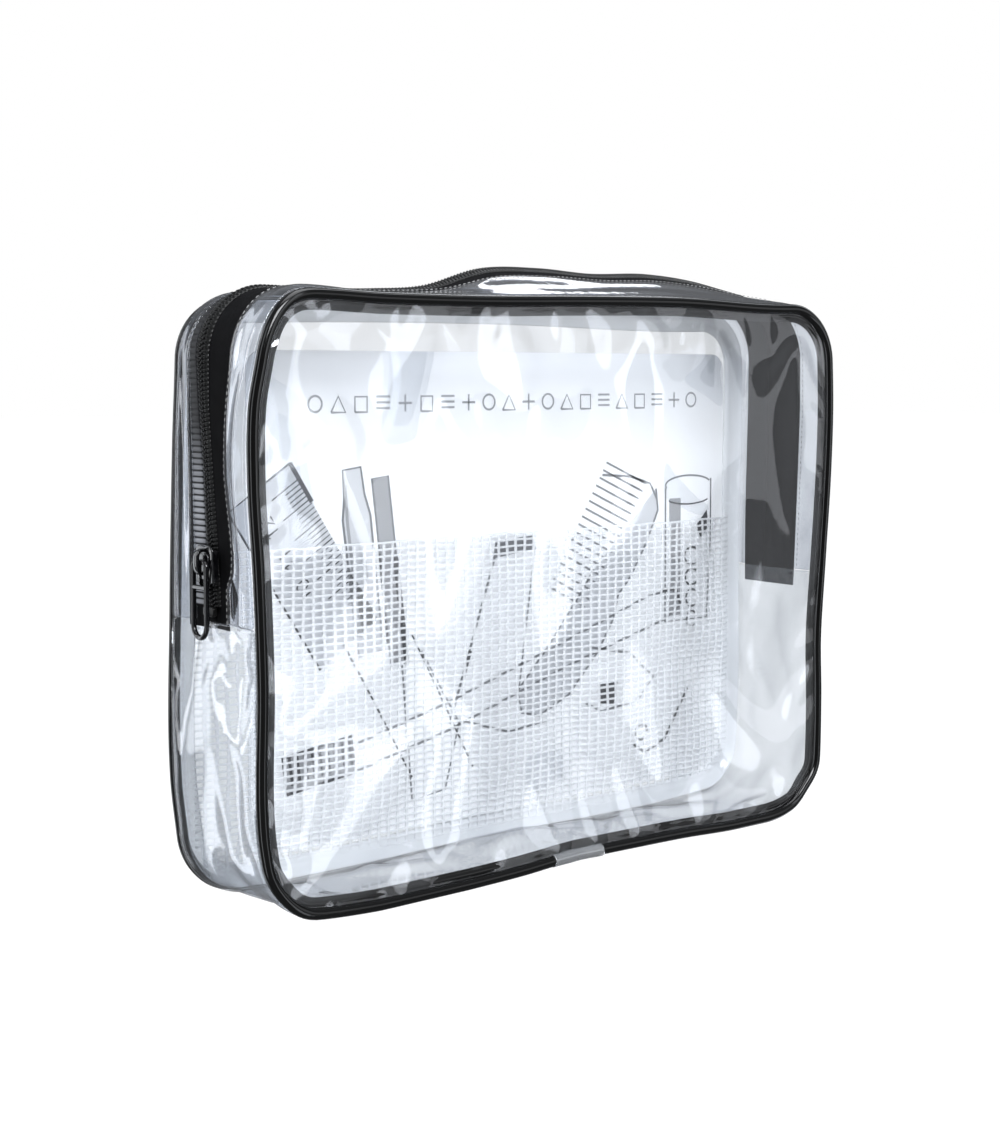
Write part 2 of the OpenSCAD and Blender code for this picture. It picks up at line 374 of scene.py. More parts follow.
class Field:
    """A shader socket that can be used in plain arithmetic."""

    def __init__(self, tree, socket):
        self.tree, self.socket = tree, socket

    def maths(self, operation, *values):
        return self.tree.node("ShaderNodeMath", {"operation": operation}, *values)

    def __add__(self, other):
        return self.maths("ADD", self, other)

    def __radd__(self, other):
        return self.maths("ADD", other, self)

    def __sub__(self, other):
        return self.maths("SUBTRACT", self, other)

    def __rsub__(self, other):
        return self.maths("SUBTRACT", other, self)

    def __mul__(self, other):
        return self.maths("MULTIPLY", self, other)

    def __rmul__(self, other):
        return self.maths("MULTIPLY", other, self)

    def __truediv__(self, other):
        return self.maths("DIVIDE", self, other)

    def __pow__(self, other):
        return self.maths("POWER", self, other)

    def sin(self):
        return self.maths("SINE", self)

    def fract(self):
        return self.maths("FRACT", self)

    def abs(self):
        return self.maths("ABSOLUTE", self)

    def least(self, other):
        return self.maths("MINIMUM", self, other)

    def between(self, low, high):
        """0 below low, 1 above high, smooth between them."""
        return self.tree.node("ShaderNodeMapRange", {"interpolation_type": "SMOOTHSTEP"},
                              self, low, high, 0.0, 1.0)


class Nodes:
    """A node tree being built, with one method that makes any node."""

    def __init__(self, owner):
        self.owner = owner
        owner.use_nodes = True
        self.nodes = owner.node_tree.nodes
        self.links = owner.node_tree.links
        self.nodes.clear()

    def node(self, kind, settings=None, *values, output=0, **named):
        made = self.nodes.new(kind)
        for key, value in (settings or {}).items():
            setattr(made, key, value)
        for key, value in [*enumerate(values), *named.items()]:
            socket = made.inputs[key if isinstance(key, int) else key.replace("_", " ")]
            if isinstance(value, Field):
                self.links.new(value.socket, socket)
            elif value is not None:
                socket.default_value = value
        return Field(self, made.outputs[output])

    def vector(self, operation, first, second, output=0):
        return self.node("ShaderNodeVectorMath", {"operation": operation}, first, second, output=output)

    def put_out(self, kind, shader):
        self.links.new(shader.socket, self.nodes.new(kind).inputs[0])
        return self.owner

    def blend(self, factor, first, second):
        return self.node("ShaderNodeMixShader", {}, factor, first, second)


class Finish(Nodes):
    """A material being built."""

    def __init__(self, name):
        super().__init__(bpy.data.materials.new(name))

    def place(self):
        return self.node("ShaderNodeTexCoord", output="Object")

    def cut(self):
        """Place on the flat pattern, in metres."""
        return self.node("ShaderNodeUVMap", {"uv_map": "cut"})

    def split(self, vector):
        made = self.nodes.new("ShaderNodeSeparateXYZ")
        self.links.new(vector.socket, made.inputs[0])
        return [Field(self, out) for out in made.outputs]

    def noise(self, vector, size, detail=2.0, rough=0.5):
        """Cloudy values from 0 to 1, with spots about size metres across."""
        return self.node("ShaderNodeTexNoise", {}, Vector=vector, Scale=1 / size, Detail=detail,
                         Roughness=rough)

    def mix(self, factor, first, second):
        made = self.nodes.new("ShaderNodeMix")
        made.data_type = "RGBA"
        for index, value in ((0, factor), (6, first), (7, second)):
            if isinstance(value, Field):
                self.links.new(value.socket, made.inputs[index])
            else:
                made.inputs[index].default_value = value if index == 0 else (*value, 1)
        return Field(self, made.outputs[2])

    def bump(self, height, depth, strength=1.0):
        return self.node("ShaderNodeBump", {}, Strength=strength, Distance=depth, Height=height)

    def surface(self, **sockets):
        return self.node("ShaderNodeBsdfPrincipled", {}, **sockets)

    def done(self, shader):
        return self.put_out("ShaderNodeOutputMaterial", shader)


def dye(shade, blue=0.0):
    """A near-grey colour."""
    return (shade, shade, shade + blue, 1)


def clear_vinyl(name, tint=(0.93, 0.935, 0.945), haze=0.012, gloss=1.0, wave=1.0, edge=0.5,
                clearer_left=False):
    """Clear soft sheet: see-through, with a glossy skin, faint haze, fine unevenness and a painted darkening
    of the see-through colour at grazing angles.
    """
    f = Finish(name)
    place = f.place()
    swell = f.noise(place, 26 * MM, 1.5)
    orange_peel = f.noise(place, 4 * MM, 2.0)
    skin = f.bump(orange_peel, 0.05 * MM * wave, 0.5)
    scuff = f.noise(place, 9 * MM, 6.0, 0.7).between(0.56, 0.8)
    grazing = f.node("ShaderNodeLayerWeight", {}, 0.5, skin, output=1)
    # painted shade: at grazing angles the see-through colour turns dark blue-grey, standing in for the
    # darkening that refraction and folds give; edge sets how much
    clear = f.blend(grazing ** 2.5 * edge, f.node("ShaderNodeBsdfTransparent", {}, (*tint, 1)),
                    f.node("ShaderNodeBsdfTransparent", {}, (0.16, 0.18, 0.22, 1)))
    shine = f.surface(Base_Color=dye(0.96, 0.02), Metallic=0.9,
                      Roughness=0.035 + scuff * 0.07 + swell * 0.02, Normal=skin)
    milky = f.surface(Base_Color=f.mix(swell, (0.84, 0.86, 0.88), (0.93, 0.94, 0.955)),
                      Roughness=0.4 + swell * 0.1, Normal=skin)
    cloudy = haze + scuff * haze * 0.6
    if clearer_left:
        across, _, _ = f.split(place)
        cloudy = cloudy * (across.between(-line_x, -line_x + 20 * MM) * 0.9 + 0.1)
    body = f.blend(cloudy, clear, milky)
    mirror = (grazing ** 5.0 * 0.9 + 0.042) * gloss
    return f.done(f.blend(mirror.least(1.0), body, shine))


def piping_vinyl(name, shade=0.003):
    """Black gloss vinyl with faint lengthwise draw lines and a little dust."""
    f = Finish(name)
    place = f.place()
    draw = f.noise(place, 7 * MM, 3.0)
    dust = f.noise(place, 1.1 * MM, 4.0, 0.7).between(0.62, 0.85)
    grain = f.noise(place, 0.5 * MM, 2.0)
    colour = f.mix(dust * 0.4, (shade,) * 3, (0.012, 0.012, 0.014))
    return f.done(f.surface(
        Base_Color=colour, Roughness=0.08 + draw * 0.07 + dust * 0.12, Specular_IOR_Level=0.32,
        Normal=f.bump(draw + grain * 0.05, 0.12 * MM, 0.35)))


def woven_tape(name, shade=0.0045, pitch=0.55 * MM):
    """Close herringbone weave of black polyester, with stray fibres that catch light."""
    f = Finish(name)
    along, across, _ = f.split(f.cut())
    rows = (across / (4.0 * MM)).fract() - 0.5
    slant = rows.abs() * 4.0 * MM
    thread = ((along + slant) * (2 * math.pi / pitch)).sin() * 0.5 + 0.5
    weft = (across * (2 * math.pi / (pitch * 1.1))).sin() * 0.5 + 0.5
    weave = thread * 0.7 + weft * 0.3
    fluff = f.noise(f.place(), 0.35 * MM, 5.0, 0.75)
    patch = f.noise(f.place(), 5 * MM, 2.0)
    light = (weave * 0.75 + fluff * 0.5 + patch * 0.3 - 0.45).between(0.0, 0.9)
    colour = f.mix(light, (shade * 0.3, shade * 0.3, shade * 0.34), (shade * 2.6, shade * 2.6, shade * 2.9))
    return f.done(f.surface(
        Base_Color=colour, Roughness=0.7 + fluff * 0.2, Specular_IOR_Level=0.04,
        Normal=f.bump(weave + fluff * 0.6, 0.16 * MM, 0.8)))


def ribs_painted_sheen(name):
    """The ribbed column: smooth floss laid across the tape, with a painted sheen on the rib crowns that
    fades out along the band.
    """
    f = Finish(name)
    along, _, _ = f.split(f.cut())
    floss = f.noise(f.place(), 0.25 * MM, 3.0, 0.6)
    strands = (along * (2 * math.pi / (0.32 * MM))).sin() * 0.5 + 0.5
    crown = ((along - coil_from) * (math.pi / RIB_PITCH)).sin().abs().between(0.42, 0.82)
    # painted sheen: the rib crowns are coloured light grey where light would catch them, fading to black
    # further along the band
    painted_sheen_fade = 1.0 - along.between(coil_from + 30 * MM, coil_from + 56 * MM) * 0.95
    lit = crown * (0.55 + strands * 0.25 + floss * 0.2) * painted_sheen_fade
    # the lighter colour is the painted sheen on the rib crowns
    colour = f.mix(lit, (0.003, 0.003, 0.004), (0.33, 0.34, 0.37))
    return f.done(f.surface(
        Base_Color=colour, Roughness=0.45 + floss * 0.2, Specular_IOR_Level=0.2,
        Normal=f.bump(strands + floss * 0.5, 0.06 * MM, 0.6)))


def nylon(name, shade=0.005):
    """Black nylon monofilament with a soft shine."""
    f = Finish(name)
    grain = f.noise(f.place(), 0.4 * MM, 3.0)
    wear = f.noise(f.place(), 6 * MM, 4.0).between(0.5, 0.75)
    return f.done(f.surface(
        Base_Color=f.mix(grain * 0.5 + wear * 0.4, (shade * 0.5,) * 3, (shade * 3,) * 3),
        Roughness=0.24 + grain * 0.12, Specular_IOR_Level=0.18, Normal=f.bump(grain, 0.05 * MM, 0.5)))


def thread(name, shade):
    """Twisted sewing thread."""
    f = Finish(name)
    place = f.place()
    x, y, z = f.split(place)
    twist = ((x + y + z) * (2 * math.pi / (0.4 * MM))).sin() * 0.5 + 0.5
    fuzz = f.noise(place, 0.2 * MM, 3.0)
    dark, light = (shade * 0.5,) * 3, (shade * 1.1,) * 3
    return f.done(f.surface(
        Base_Color=f.mix(twist * 0.7 + fuzz * 0.3, dark, light), Roughness=0.5 + fuzz * 0.2,
        Sheen_Weight=0.3, Normal=f.bump(twist + fuzz * 0.4, 0.05 * MM, 0.7)))


def enamel(name):
    """Black gloss enamel with slight orange peel, worn to grey on high spots."""
    f = Finish(name)
    place = f.place()
    peel = f.noise(place, 0.9 * MM, 2.0)
    rub = f.noise(place, 2.2 * MM, 5.0, 0.7)
    edge = f.node("ShaderNodeNewGeometry", output="Pointiness").between(0.53, 0.62)
    wear = edge * rub.between(0.42, 0.62)
    return f.done(f.surface(
        Base_Color=f.mix(wear, (0.002, 0.002, 0.0025), (0.10, 0.10, 0.105)), Metallic=wear * 0.8,
        Roughness=0.08 + rub * 0.08 + wear * 0.2, Specular_IOR_Level=0.4, Coat_Weight=0.25,
        Coat_Roughness=0.05, Normal=f.bump(peel, 0.04 * MM, 0.4)))


def coated_net(name):
    """White yarn dipped in soft vinyl: waxy, slightly see-through, with a yarn twist under the coat."""
    f = Finish(name)
    place = f.place()
    yarn = f.noise(place, 0.6 * MM, 3.0)
    clump = f.noise(place, 14 * MM, 3.0)
    colour = f.mix(clump * 0.6 + yarn * 0.4, (0.90, 0.91, 0.925), (0.975, 0.98, 0.985))
    solid = f.surface(Base_Color=colour, Roughness=0.34 + yarn * 0.2, Coat_Weight=0.3,
                      Normal=f.bump(yarn, 0.1 * MM, 0.6))
    clear = f.node("ShaderNodeBsdfTransparent", {}, (0.96, 0.965, 0.975, 1))
    return f.done(f.blend(0.6 - clump * 0.1, clear, solid))


def card_stock(name):
    """Coated white card with a faint grain and a cool cast."""
    f = Finish(name)
    place = f.place()
    fibre = f.noise(place, 0.8 * MM, 6.0, 0.7)
    cloud = f.noise(place, 40 * MM, 2.0)
    colour = f.mix(fibre * 0.5 + cloud * 0.5, (0.925, 0.93, 0.94), (0.965, 0.97, 0.975))
    return f.done(f.surface(Base_Color=colour, Roughness=0.42 + fibre * 0.15,
                            Normal=f.bump(fibre, 0.02 * MM, 0.4)))


def ink(name, colour):
    """Printing ink: even, with a faint dot screen and thin spots."""
    f = Finish(name)
    place = f.place()
    spot = f.noise(place, 0.35 * MM, 3.0)
    starve = f.noise(place, 3 * MM, 3.0).between(0.6, 0.8)
    pale = tuple(min(c * 1.5 + 0.02, 0.97) for c in colour)
    return f.done(f.surface(Base_Color=f.mix(starve * 0.5 + spot * 0.3, colour, pale),
                            Roughness=0.35 + spot * 0.2, Normal=f.bump(spot, 0.01 * MM, 0.3)))


def filler_cord(name):
    """Extruded grey cord inside the piping."""
    f = Finish(name)
    grain = f.noise(f.place(), 1.5 * MM, 4.0)
    return f.done(f.surface(Base_Color=f.mix(grain, (0.06, 0.06, 0.06), (0.14, 0.14, 0.14)),
                            Roughness=0.55 + grain * 0.2, Normal=f.bump(grain, 0.1 * MM, 0.4)))


VINYL = clear_vinyl("clear_vinyl", tint=(0.955, 0.962, 0.97))
GUSSET_VINYL = clear_vinyl("gusset_vinyl", tint=(0.885, 0.9, 0.915))
# the strips get the full painted shade at grazing angles (edge=1.0)
STRIP_VINYL = clear_vinyl("strip_vinyl", tint=(0.83, 0.85, 0.88), haze=0.012, gloss=1.3, wave=1.4, edge=1.0)
BINDING = clear_vinyl("milky_binding", tint=(0.90, 0.91, 0.92), haze=0.6, gloss=1.2, clearer_left=True)
FILM = clear_vinyl("wrap_film", tint=(0.80, 0.82, 0.84), haze=0.10, gloss=1.6)
PIPING = piping_vinyl("piping_vinyl")
LIP = piping_vinyl("piping_lip_vinyl", 0.006)
CORD = filler_cord("filler_cord")
TAPE = woven_tape("zipper_tape_weave")
RIBS = ribs_painted_sheen("ribs_painted_sheen")
NYLON = nylon("zipper_nylon")
WHITE_THREAD = thread("pale_thread", 0.30)
BLACK_THREAD = thread("black_thread", 0.03)
ENAMEL = enamel("black_enamel")
NET = coated_net("coated_net")
CARD = card_stock("card_stock")
INK_DARK = ink("ink_dark", (0.03, 0.03, 0.035))
INK_GREY = ink("ink_grey", (0.16, 0.165, 0.175))
INK_PALE = ink("ink_pale", (0.30, 0.305, 0.315))
INK_TINT = ink("ink_tint", (0.55, 0.56, 0.58))


def finished(obj, material, slot, body=None, replaces=()):
    """Gives a piece its material, the body it rides on and the nodes it stands for; the slot argument is not
    used.
    """
    obj.data.materials.clear()
    obj.data.materials.append(material)
    if body:
        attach(obj, body)
    else:
        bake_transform(obj)
    if replaces:
        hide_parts(*replaces)
    return obj


# ---------------------------------------------------------------- piping

ring_s = np.linspace(0, ring_length, 420, endpoint=False)


def piping_tube(name, side, radius):
    path = np.stack(piping_line(ring_s, side)[:3], -1)
    swell = radius * (1 + 0.035 * ripples(path, 22 * MM, 2 + side))
    return tube_object(name, path, np.maximum(swell, radius * 0.9), 16, closed=True)


def lip_strip(name, side, near, far, thickness):
    """The flat lip inside the piping; near and far hold how far in and how deep each edge lies."""
    share = np.linspace(0, 1, 11)[:, None]
    s = np.broadcast_to(ring_s, (len(share), len(ring_s)))
    x, y, z, out_x, out_z = piping_line(s, side)
    inward = near[0] + (far[0] - near[0]) * share
    depth = near[1] + (far[1] - near[1]) * share ** 0.6
    y = y - side * (depth + 0.25 * MM * np.sin(share * 3 * math.pi))
    z = np.maximum(z - inward * out_z, 0.4 * MM)
    sheet = grid_object(name, x - inward * out_x, y, z, closed=True)
    return thicken(sheet, thickness, 0.0)


core_low, core_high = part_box("piping_core_back")
core_r = (core_high.y - core_low.y) / 2
for name, r, material, slot, node in (("piping", piping_r, PIPING, "piping_black", "piping_cover"),
                                      ("piping_cord", core_r, CORD, "piping_cord", "piping_core")):
    finished(piping_tube(name + "_back", 1, r), material, slot, "bag", [node + "_back"])
    finished(piping_tube(name + "_front", -1, r), material, slot,
             replaces=[node + "_front_lower", node + "_front_upper"])
finished(lip_strip("piping_lip_in_front", -1, (1.1 * MM, 0.2 * MM), (4.6 * MM, 0.9 * MM), 0.4 * MM), LIP,
         "piping_black", replaces=["piping_lip_front_lower", "piping_lip_front_upper"])
finished(lip_strip("seam_binding_back", 1, (-0.4 * MM, 4.4 * MM), (6.2 * MM, 1.0 * MM), 0.5 * MM), BINDING,
         "clear_vinyl", "bag", ["piping_lip_back"])


# ---------------------------------------------------------------- clear sheets

def coons(side, inset, columns, rows):
    """A grid that fills the ring of piping, its border inset from the centre line."""
    u, v = np.linspace(0, 1, columns), np.linspace(0, 1, rows)
    turn = half_run + corner_run / 2
    top = half_run + 1.5 * corner_run + side_run

    def border(s):
        x, y, z, out_x, out_z = piping_line(s, side)
        return np.stack([x - inset * out_x, y, z - inset * out_z], -1)

    bottom = border(turn - 2 * turn * u)
    ceiling = border(top + (ring_length - 2 * top) * u)
    left = border(turn + (top - turn) * v)
    right = border(-turn - (top - turn) * v)
    u, v = u[None, :, None], v[:, None, None]
    grid = ((1 - v) * bottom[None] + v * ceiling[None] + (1 - u) * left[:, None] + u * right[:, None]
            - (1 - u) * (1 - v) * bottom[0] - u * (1 - v) * bottom[-1]
            - (1 - u) * v * ceiling[0] - u * v * ceiling[-1])
    return grid


def border_mask(columns, rows):
    mask = np.zeros((rows, columns), bool)
    mask[[0, -1]] = True
    mask[:, [0, -1]] = True
    return mask.ravel()


def panel(name, side, belly, seed, slack):
    columns, rows = 86, 66
    grid = coons(side, piping_r * 0.5, columns, rows)
    u, v = np.meshgrid(np.linspace(0, 1, columns), np.linspace(0, 1, rows))
    edge = np.minimum(np.minimum(u, 1 - u) * 3.2, np.minimum(v, 1 - v) * 2.6)
    hold = soften(edge)
    points = grid.reshape(-1, 3)
    wobble = ripples(points * [1, 0, 0.45], 34 * MM, seed).reshape(rows, columns)
    fine = ripples(points * [1, 0, 0.6], 17 * MM, seed + 3).reshape(rows, columns)
    push = belly * hold + (wobble * 2.4 + fine * 0.9) * MM * soften(edge * 2)
    grid[..., 1] += side * push
    sheet = grid_object(name, grid[..., 0], grid[..., 1], grid[..., 2])
    buckle(sheet, border_mask(columns, rows), slack)
    refine(sheet)
    return thicken(sheet, wall_t, 0.0)


finished(panel("front_panel", -1, 1.5 * MM, 5, 0.009), VINYL, "clear_vinyl",
         replaces=["front_panel_lower", "front_panel_upper"])
finished(panel("back_panel_sheet", 1, 1.5 * MM, 9, 0.008), VINYL, "clear_vinyl", "bag",
         ["back_panel"])


def gusset():
    """The lower gusset: up both sides and under the bottom, from seam to seam."""
    columns, rows = 170, 18
    s = np.linspace(-left_seam, left_seam, columns)[None, :]
    share = np.linspace(-1, 1, rows)[:, None]
    front = np.stack(piping_line(s, -1), 0)
    back = np.stack(piping_line(s, 1), 0)
    mix = (share + 1) / 2
    place = front * (1 - mix) + back * mix
    _, _, out_x, out_z = ring(s)
    x = place[0] + wall_level * out_x
    z = np.maximum(place[2] + wall_level * out_z, 0.35 * MM)
    y = share * edge_y + (place[1] - share * line_y)
    points = np.stack([x, y, z], -1).reshape(-1, 3)
    bulge = ripples(points * [0.5, 1, 0.5], 16 * MM, 21).reshape(rows, columns)
    hold = soften((1 - np.abs(share)) * 2.2)
    lift = np.abs(bulge) * 2.2 * MM * hold + 1.0 * MM * hold
    x = x - lift * out_x
    z = z - lift * out_z
    sheet = grid_object("gusset_sheet", x, y, z)
    buckle(sheet, border_mask(columns, rows), 0.008, cap=4 * MM)
    points = points_of(sheet)
    points[:, 2] = np.maximum(points[:, 2], 0.3 * MM)
    set_points(sheet, points)
    refine(sheet)
    return thicken(sheet, wall_t, 0.0)


finished(gusset(), GUSSET_VINYL, "clear_vinyl", "bag", ["gusset_lower"])


def spread(start, end, columns, rows):
    """Lengths along the band as a row, and shares from 0 to 1 across it as a column."""
    return np.linspace(start, end, columns)[None, :], np.linspace(0, 1, rows)[:, None]


def band_sheet(name, s, y, out):
    """A sheet on the flat pattern of the zipper band."""
    s, y = np.broadcast_arrays(s, y)
    return grid_object(name, *band_place(s, y, out), (s, y))


def strip_bulge(s, share, side):
    """Pillow and ripples of a clear strip; share runs from the piping to the slot."""
    arch = np.sin(np.clip(share, 0, 1) * math.pi)
    ripple = np.sin(s / (13 * MM) + side * 1.3) * np.sin(s / (47 * MM) + side)
    top = soften((s - 0.30) / 0.03) * soften((0.53 - s) / 0.03)
    folds = np.sin(share * 2.5 * math.pi) * (0.35 + 0.25 * np.sin(s / (31 * MM)))
    return (arch * (1.2 - 0.9 * top + ripple * 0.5) + folds * arch) * MM


def zipper_strip(name, side):
    s, share = spread(band_from + 0.1 * MM, band_to - 0.1 * MM, 330, 9)
    slot_y = zip_y + side * (slot_half if side > 0 else smooth_knots(s, FRONT_TAPE_EDGE) - 0.8 * MM)
    y = side * edge_y + (slot_y - side * edge_y) * share
    sheet = band_sheet(name, s, y, wall_level + strip_bulge(s, share, side))
    refine(sheet)
    return thicken(sheet, wall_t, 0.0)


finished(zipper_strip("zipper_strip_behind", 1), STRIP_VINYL, "clear_vinyl", "bag",
         ["gusset_strip_back"])
finished(zipper_strip("zipper_strip_in_front", -1), STRIP_VINYL, "clear_vinyl",
         replaces=["gusset_strip_front_lower", "gusset_strip_front_upper"])


# ---------------------------------------------------------------- zipper

tape_from = band_from - (seam_z - tape_end_z)
tape_to = ring_length - tape_from + 4 * MM


def tape(name, side):
    s, share = spread(tape_from, tape_to, 500, 9)
    width = smooth_knots(s, FRONT_TAPE_EDGE) if side < 0 else tape_half
    y = zip_y + side * (0.03 * MM + (width - 0.03 * MM) * share)
    return thicken(band_sheet(name, s, y, tape_out - 0.1 * MM), tape_t, float(side))


def folded_corner():
    """The corner of the front tape's end, folded under the clear strip."""
    u, v = np.meshgrid(np.linspace(0, 1, 7), np.linspace(0, 1, 31))
    corners = np.array([[212.5, -9.6], [207.0, -12.7], [203.2, -5.9], [200.4, -9.2]]) * MM
    top = corners[0] * (1 - u[..., None]) + corners[1] * u[..., None]
    low = corners[2] * (1 - u[..., None]) + corners[3] * u[..., None]
    at = top * (1 - v[..., None]) + low * v[..., None]
    out = tape_out + 0.35 * MM * np.abs(np.sin(v * 6 * math.pi))
    return thicken(band_sheet("corner", at[..., 0], at[..., 1], out), 0.3 * MM, 0.0)


finished(tape("tape_behind", 1), TAPE, "zipper_tape", "bag", ["zipper_tape_back"])
finished(joined("tape_in_front", [tape("tape", -1), folded_corner()]), TAPE, "zipper_tape",
         replaces=["zipper_tape_front_lower", "zipper_tape_front_upper"])


def rib_column():
    """Raised cross ribs on the back tape, beside the coil."""
    s, share = spread(coil_from, coil_to, int((coil_to - coil_from) / RIB_PITCH) * 6, 7)
    y = zip_y + 3.6 * MM + 6.2 * MM * share
    ridge = np.abs(np.sin(math.pi * (s - coil_from) / RIB_PITCH)) ** 0.7
    crown = np.sin(np.clip(share, 0.02, 0.98) * math.pi) ** 0.35
    sheet = band_sheet("tape_ribs", s, y, tape_out + (0.05 + 0.5 * ridge * crown) * MM)
    return thicken(sheet, 0.25 * MM, 1.0)


finished(rib_column(), RIBS, "zipper_tape", "bag")


def bead_row(name, side):
    """One side of the chain: slanted nylon turns, each a short rounded bar, over a woven bed."""
    count = int((coil_to - coil_from) / COIL_PITCH)
    base = bmesh.new()
    bmesh.ops.create_icosphere(base, subdivisions=2, radius=1.0)
    shape = np.array([v.co for v in base.verts])
    shape_faces = [[v.index for v in f.verts] for f in base.faces]
    base.free()
    points, faces = [], []
    slant = math.radians(38)
    for i in range(count):
        s = coil_from + (i + (0.5 if side > 0 else 0.0)) * COIL_PITCH
        along = shape[:, 0] * 0.95 * MM
        wide = shape[:, 1] * 0.42 * MM
        high = shape[:, 2] * 0.55 * MM
        run = along * math.sin(slant) * side + wide * math.cos(slant)
        across = along * math.cos(slant) - wide * math.sin(slant) * side
        y = zip_y + side * 1.15 * MM + across
        x, yy, z = band_place(s + run, y, coil_level + high)
        first = len(points) * len(shape)
        points.append(np.stack([x, yy, z], -1))
        faces += [[first + k for k in face] for face in shape_faces]
    return mesh_object(name, np.concatenate(points), faces)


def coil_bed(name, side):
    """The coil's legs and the sewing that holds them, beside the beads."""
    s, share = spread(coil_from, coil_to, int((coil_to - coil_from) / COIL_PITCH) * 5, 6)
    y = zip_y + side * (0.3 * MM + (coil_half - 0.1 * MM) * share)
    crown = np.sin(np.clip(share + 0.08, 0, 1) * math.pi) ** 0.5
    bump = np.abs(np.sin(math.pi * s / COIL_PITCH + side)) * crown
    sheet = band_sheet(name, s, y, tape_out + (0.15 + 0.75 * bump) * MM)
    return thicken(sheet, 0.3 * MM, float(side))


coil_level = tape_out + 0.95 * MM
for name, side, body, nodes in (
        ("coil_behind", 1, "bag", ["zipper_coil_back"]),
        ("coil_in_front", -1, None, ["zipper_coil_front_lower", "zipper_coil_front_upper"])):
    finished(joined(name, [bead_row("beads", side), coil_bed("bed", side)]), NYLON, "zipper_coil",
             body, nodes)


def stitch_row(name, place, count, length, radius):
    """A row of thread stitches; place(t) gives a point for each t in 0..count."""
    points, faces = [], []
    for i in range(count):
        line = np.array([place(i + k * length / 4) for k in range(5)])
        thin = np.array([0.35, 0.9, 1.0, 0.9, 0.35]) * radius
        part = tube_object("stitch", line, thin, 6)
        first = sum(len(p) for p in points)
        points.append(points_of(part))
        faces += [[first + k for k in poly.vertices] for poly in part.data.polygons]
        bpy.data.objects.remove(part)
    return mesh_object(name, np.concatenate(points), faces)


def tape_stitches(name, side, material):
    """The row that sews a clear strip to its tape."""
    def place(t):
        s = band_from + t * STITCH_PITCH
        away = slot_half + 1.6 * MM if side > 0 else float(smooth_knots(s, FRONT_TAPE_EDGE)) + 0.4 * MM
        return np.array([float(k) for k in band_place(s, zip_y + side * away, wall_out + 0.5 * MM)])

    row = stitch_row(name, place, int((band_to - band_from) / STITCH_PITCH), 0.55, 0.13 * MM)
    return finished(row, material, "zipper_tape", "bag" if side > 0 else None)


tape_stitches("stitches_in_front", -1, WHITE_THREAD)
tape_stitches("stitches_behind", 1, BLACK_THREAD)


# ---------------------------------------------------------------- end stops, slider and pull

def prism(name, outline, x_from, x_to, bevel, y_middle=0.0, z_middle=0.0):
    """A plate from an outline in depth and height, with rounded edges."""
    count = len(outline)
    points = [(x, y_middle + y, z_middle + z) for x in (x_from, x_to) for y, z in outline]
    faces = [tuple(range(count)), tuple(range(2 * count - 1, count - 1, -1))]
    faces += [(i, i + count, (i + 1) % count + count, (i + 1) % count) for i in range(count)]
    obj = mesh_object(name, points, faces, smooth=False)
    shell = bmesh.new()
    shell.from_mesh(obj.data)
    bmesh.ops.recalc_face_normals(shell, faces=shell.faces)
    shell.to_mesh(obj.data)
    shell.free()
    edge = obj.modifiers.new("edge", "BEVEL")
    edge.width = bevel
    edge.segments = 3
    edge.limit_method = "ANGLE"
    edge.angle_limit = math.radians(40)
    return apply_modifiers(obj)


def rounded(width, height, r, steps=5):
    """Outline of a rounded rectangle about the origin."""
    outline = []
    for corner in range(4):
        cx = (width / 2 - r) * (1 if corner in (0, 3) else -1)
        cz = (height / 2 - r) * (1 if corner in (0, 1) else -1)
        for k in range(steps):
            t = (corner + k / (steps - 1)) * math.pi / 2
            outline.append((cx + r * math.cos(t), cz + r * math.sin(t)))
    return outline


def shade_by_angle(obj, degrees=35):
    obj.data.polygons.foreach_set("use_smooth", [True] * len(obj.data.polygons))
    mesh = bmesh.new()
    mesh.from_mesh(obj.data)
    for edge in mesh.edges:
        edge.smooth = len(edge.link_faces) != 2 or edge.calc_face_angle(0) < math.radians(degrees)
    mesh.to_mesh(obj.data)
    mesh.free()
    return obj


stop_low, stop_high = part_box("zipper_end_stops")
stop_h = coil_end_z - stop_low.z


def end_stops():
    stops = []
    for sign in (-1, 1):
        drift = smooth_knots(band_to, BAND_DRIFT) if sign > 0 else 0.0
        outline = rounded(stop_high.y - stop_low.y, stop_h, 0.9 * MM)
        stops.append(prism("stop", outline, sign * (line_x + tape_out), sign * stop_high.x, 0.3 * MM,
                           zip_y + float(drift), stop_low.z + stop_h / 2))
    return shade_by_angle(joined("end_stops", stops))


finished(end_stops(), NYLON, "zipper_coil", "bag", ["zipper_end_stops"])

slider_low, slider_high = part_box("slider_body")
slider_l = slider_high.z - slider_low.z
slider_w = slider_high.y - slider_low.y
slider_z = (slider_low.z + slider_high.z) / 2
plate_t = 1.1 * MM


def slider_outline(grow=0.0):
    """Shield shape: broad where the coils come together, narrower at the tail."""
    half, end = slider_w / 2 + grow, slider_l / 2 + grow
    shape = [(0, -end), (0.42, -0.97 * end), (0.66, -0.8 * end), (0.74, -0.45 * end),
             (0.84, 0.0), (0.98, 0.35 * end), (1.0, 0.62 * end), (0.9, 0.86 * end),
             (0.62, 0.99 * end), (0.3, end)]
    right = [(half * a if a else 0.0, z) for a, z in shape]
    return right + [(0.0, 0.93 * end)] + [(-y, z) for y, z in reversed(right[1:])]


